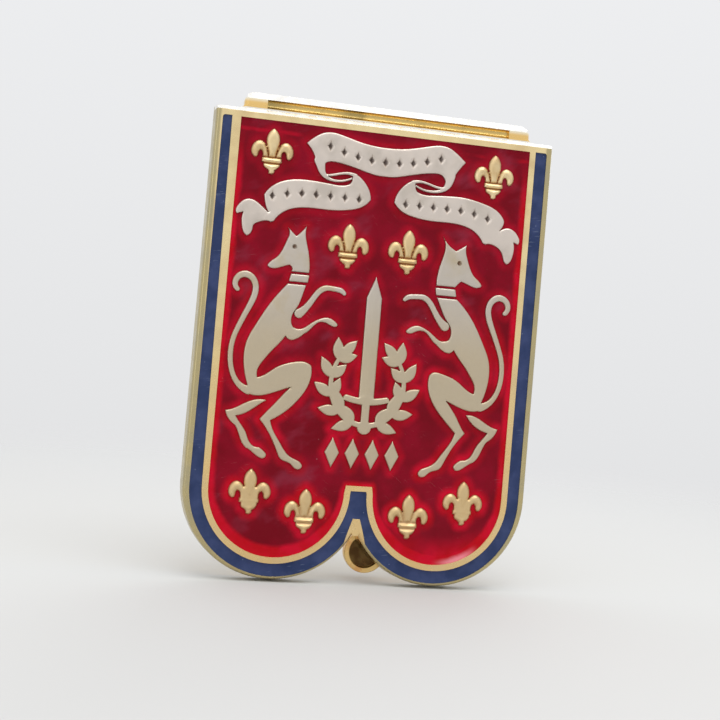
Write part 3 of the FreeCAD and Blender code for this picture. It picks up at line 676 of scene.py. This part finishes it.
def rounded_height(top, radius, swell=0.015):
    """Height function of a flat face with a rounded edge that swells a little in its middle."""
    def height(x, z, distance):
        inward = radius - min(distance, radius)
        rounding = math.sqrt(max(radius ** 2 - inward ** 2, 0))
        return top - radius + rounding + swell * (1 - math.exp(-distance * 2))

    return height


def with_hollows(height, hollow):
    """Height function with a second function's depth taken off."""
    return lambda x, z, distance: height(x, z, distance) - hollow(x, z)


def round_insets(radius):
    """Insets at which a rounded edge needs points."""
    return [radius * (1 - math.cos(math.radians(angle))) for angle in (32, 60, 90)]


def silver_piece(name, node, material, spacing, height, creases=(), least_area=0.3, depth=SILVER_DEPTH):
    """Silver charge with rounded edges that stands for its CAD node."""
    loops = [loop for loop in face_loops(node, depth) if abs(loop_area(loop)) > least_area]
    piece = relief(name, loops, spacing, round_insets(SILVER_ROUND), height, creases)
    finish_piece(piece, material, BODY, "silver_matte", node)
    return piece


def hounds(material):
    """Two hounds, each with a punched eye."""
    base = rounded_height(SILVER_DEPTH, SILVER_ROUND)
    for side, sign in SIDES.items():
        eye = Vector((sign * EYE_X, EYE_Z))
        creases = []
        for radius in EYE_RINGS:
            turns = [math.radians(step * 30) for step in range(13)]
            offsets = [(radius * math.cos(turn), radius * math.sin(turn)) for turn in turns]
            creases.append([(eye.x + across, eye.y + up) for across, up in offsets])

        def hollow(x, z, eye=eye):
            away = (Vector((x, z)) - eye).length
            return EYE_DEPTH * max(0.0, 1 - (away / EYE_RADIUS) ** 2)

        name = "hound_" + side
        silver_piece(name + "_relief", name, material, 0.17, with_hollows(base, hollow), creases)


def ribbon_marks():
    """Places of the small incised lozenges along the ribbon."""
    places = []
    for step in range(-4, 5):
        x = 1.22 * step
        places.append((x, 17.05 + 0.036 * x * x))
    for step in range(7):
        x = 2.05 + 1.24 * step
        z = 13.68 - 0.045 * max(0, x - 6.2) ** 2
        places.append((x, z))
        places.append((-x, z))
    return places


def ribbon(material):
    """Ribbon with its incised row of lozenges."""
    half_x, half_z = MARK_HALF
    places = ribbon_marks()
    creases = []
    for x, z in places:
        creases.append([(x - half_x, z), (x, z + half_z), (x + half_x, z), (x, z - half_z), (x - half_x, z)])
        creases.append([(x, z + half_z * 0.99), (x, z - half_z * 0.99)])
        creases.append([(x - half_x * 0.99, z), (x + half_x * 0.99, z)])

    def hollow(x, z):
        return MARK_DEPTH * max(
            0.0, max(1 - abs(x - mark_x) / half_x - abs(z - mark_z) / half_z for mark_x, mark_z in places)
        )

    height = with_hollows(rounded_height(SILVER_DEPTH, SILVER_ROUND), hollow)
    silver_piece("ribbon_relief", "ribbon", material, 0.16, height, creases, 0.02, CELL_FLOOR)


def ornament(material):
    """Sword within its wreath, with a ridge along the blade."""
    blade_foot, blade_tip = BLADE_Z
    ridge = [(0, blade_foot), (0, blade_tip)]

    def hollow(x, z):
        on_blade = blade_foot < z < blade_tip and abs(x) < BLADE_HALF
        return BLADE_FALL * (abs(x) / BLADE_HALF) if on_blade else 0.0

    height = with_hollows(rounded_height(SILVER_DEPTH + 0.03, SILVER_ROUND), hollow)
    silver_piece("centre_ornament_relief", "centre_ornament", material, 0.15, height, [ridge])


def lozenges(material):
    """Row of four lozenges."""
    height = rounded_height(SILVER_DEPTH, SILVER_ROUND)
    for number in range(1, 5):
        name = "lozenge_" + str(number)
        silver_piece(name + "_relief", name, material, 0.14, height)


def fleurs(material):
    """Eight fleurs-de-lis, each of five small pillows that meet in valleys."""
    valleys = [
        [(0.6, 1.26), (0.45, 0.95), (0.36, 0.6), (0.3, FLEUR_BAND)],
        [(-0.6, 1.26), (-0.45, 0.95), (-0.36, 0.6), (-0.3, FLEUR_BAND)],
        [(-1.0, FLEUR_BAND), (1.0, FLEUR_BAND)],
        [(-1.0, -FLEUR_BAND), (1.0, -FLEUR_BAND)],
    ]
    for row, wear in FLEUR_WEAR.items():
        for side in SIDES:
            name = "fleur_" + row + "_" + side
            loops = face_loops(name, CELL_FLOOR)
            low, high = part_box(name)
            centre_x = (low.x + high.x) / 2 / MM
            centre_z = high.z / MM - FLEUR_RISE
            seams = [[(centre_x + x, centre_z + z) for x, z in line] for line in valleys]
            seam_distance = distance_to(seams, False)

            def height(x, z, distance):
                inward = min(distance, max(seam_distance(x, z) - 0.02, wear), FLEUR_ROUND) / FLEUR_ROUND
                return FLEUR_FOOT + FLEUR_CROWN * math.sqrt(1 - (1 - inward) ** 2)

            piece = relief(name + "_relief", loops, 0.09, [0.025, 0.09], height)
            finish_piece(piece, material, BODY, "gilt_charges", name)


def enamels():
    """Red and blue enamel, which creep up the metal beside them."""
    loops = face_loops("red_enamel", RED_DEPTH)
    wall_loop = max(loops, key=lambda loop: abs(loop_area(loop)))
    wall_distance = distance_to([wall_loop])
    charge_distance = distance_to([loop for loop in loops if loop is not wall_loop])

    def red_height(x, z, distance):
        wall = math.exp(-wall_distance(x, z) / 0.3)
        charge = math.exp(-charge_distance(x, z) / 0.16)
        return RED_DEPTH - 0.03 + 0.08 * wall + 0.03 * charge

    def blue_height(x, z, distance):
        return BLUE_DEPTH - 0.03 + 0.06 * math.exp(-distance / 0.18)

    attributes = [("wall_distance", wall_distance), ("charge_distance", charge_distance)]
    red = relief("red_enamel_fill", loops, 0.22, [0.1, 0.25], red_height, (), attributes)
    finish_piece(red, red_material(), BODY, "red_enamel", "red_enamel")
    blue = relief("blue_enamel_fill", face_loops("blue_enamel", BLUE_DEPTH), 0.25, [0.08, 0.2], blue_height)
    finish_piece(blue, blue_material(), BODY, "blue_enamel", "blue_enamel")


# --- Plate and fittings ---

def plate_and_fittings():
    """Struck plate, and everything on its back."""
    plate = softened("struck_plate", "base_plate")
    finish_piece(plate, plate_material(), BODY, "gilt_plate", "base_plate")
    brass = fitting_material()
    wire = metal("pin_wire", (0.72, 0.68, 0.60), (0.56, 0.51, 0.42), 0.24)
    fittings = (
        ("hinge_base", brass, BODY, "gilt_fittings"),
        ("catch_base", brass, BODY, "gilt_fittings"),
        ("catch_sleeve", brass, "sleeve", "gilt_fittings"),
        ("hinge_rivet", wire, BODY, "pin_wire"),
        ("brooch_pin", wire, "pin", "pin_wire"),
    )
    for node, material, body, slot in fittings:
        finish_piece(softened(node + "_soft", node), material, body, slot, node)


# --- Stage, light and camera ---

def make_camera():
    """Camera that sees the badge a little from its left."""
    yaw = math.radians(CAMERA_YAW)
    roll = math.radians(CAMERA_ROLL)
    back = Vector((math.sin(yaw), -math.cos(yaw), 0))
    right = (-back).cross(Vector((0, 0, 1)))
    up = right.cross(-back)
    camera_right = right * math.cos(roll) + up * math.sin(roll)
    camera_up = up * math.cos(roll) - right * math.sin(roll)
    camera = bpy.data.objects.new("camera", bpy.data.cameras.new("camera"))
    camera.data.lens = CAMERA_LENS
    camera.data.sensor_width = CAMERA_SENSOR
    camera.data.clip_start = CAMERA_CLIP * MM
    camera.matrix_world = Matrix((camera_right, camera_up, back)).transposed().to_4x4()
    camera.location = Vector((CAMERA_AIM_X, -PLATE_DEPTH, 0)) * MM + back * CAMERA_DISTANCE * MM
    bpy.context.scene.collection.objects.link(camera)
    bpy.context.scene.camera = camera


def make_floor():
    """Pale round floor whose edge fades into the surroundings."""
    low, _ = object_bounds()
    made = bmesh.new()
    bmesh.ops.create_circle(
        made,
        cap_ends=True,
        segments=128,
        radius=FLOOR_RADIUS * MM,
        matrix=Matrix.Translation((0, 0, low.z - FLOOR_GAP * MM)),
    )
    mesh = bpy.data.meshes.new("floor")
    made.to_mesh(mesh)
    made.free()
    floor = bpy.data.objects.new("floor", mesh)
    bpy.context.scene.collection.objects.link(floor)
    finish = Finish("floor", Roughness=0.9, Specular_IOR_Level=0.1)
    finish.colour(FLOOR_TONE)
    length = finish.tree.nodes.new("ShaderNodeVectorMath")
    length.operation = "LENGTH"
    finish.link(finish.place, length.inputs[0])
    clear = finish.tree.nodes.new("ShaderNodeBsdfTransparent")
    blend = finish.tree.nodes.new("ShaderNodeMixShader")
    finish.link(finish.ramp(length.outputs["Value"], *FLOOR_FADE), blend.inputs[0])
    finish.link(finish.shader.outputs[0], blend.inputs[1])
    finish.link(clear.outputs[0], blend.inputs[2])
    finish.link(blend.outputs[0], finish.tree.nodes["Material Output"].inputs["Surface"])
    floor.data.materials.append(finish.material)


def make_light():
    """Soft window above the front, a weak fill, and pale surroundings that are brighter above."""
    for name, place, size, power, tint in LAMPS:
        light = bpy.data.objects.new(name, bpy.data.lights.new(name, "AREA"))
        light.data.shape = "SQUARE"
        light.data.size = size * MM
        light.data.energy = power
        light.data.color = tint
        light.location = Vector(place) * MM
        light.rotation_euler = (-light.location).to_track_quat("-Z", "Y").to_euler()
        bpy.context.scene.collection.objects.link(light)
    world = bpy.data.worlds.new("surroundings")
    bpy.context.scene.world = world
    world.use_nodes = True
    tree = world.node_tree
    coordinates = tree.nodes.new("ShaderNodeTexCoord")
    parts = tree.nodes.new("ShaderNodeSeparateXYZ")
    ramp = tree.nodes.new("ShaderNodeValToRGB")
    ramp.color_ramp.interpolation = "EASE"
    ramp.color_ramp.elements[0].color = SURROUNDINGS_LOW
    ramp.color_ramp.elements[1].color = SURROUNDINGS_HIGH
    raise_up = tree.nodes.new("ShaderNodeMath")
    raise_up.operation = "MULTIPLY_ADD"
    raise_up.inputs[1].default_value = 0.5
    raise_up.inputs[2].default_value = 0.5
    tree.links.new(coordinates.outputs["Generated"], parts.inputs[0])
    tree.links.new(parts.outputs["Z"], raise_up.inputs[0])
    tree.links.new(raise_up.outputs[0], ramp.inputs[0])
    tree.links.new(ramp.outputs["Color"], tree.nodes["Background"].inputs["Color"])


def main():
    """Makes everything."""
    bpy.context.scene.view_settings.view_transform = "Standard"
    make_camera()
    plate_and_fittings()
    enamels()
    silver = metal(
        "silver_matte",
        tone=(0.58, 0.52, 0.45),
        dull=(0.55, 0.46, 0.32),
        rough=0.42,
        grain=0.008,
        shade=(0.20, 0.12, 0.08),
        darker_below=(7, 0),
    )
    pale_silver = metal(
        "silver_ribbon",
        tone=(0.70, 0.62, 0.55),
        dull=(0.60, 0.53, 0.46),
        rough=0.4,
        grain=0.006,
        shade=(0.24, 0.20, 0.18),
        shade_depths=(1.84, 1.68),
    )
    hounds(silver)
    ornament(silver)
    lozenges(silver)
    ribbon(pale_silver)
    gilt = metal(
        "gilt_charges",
        tone=(0.84, 0.68, 0.40),
        dull=(0.66, 0.48, 0.25),
        rough=0.46,
        shade=(0.46, 0.22, 0.11),
        shade_depths=(1.82, 1.66),
        darker_below=(16, 7),
    )
    fleurs(gilt)
    make_floor()
    make_light()


main()
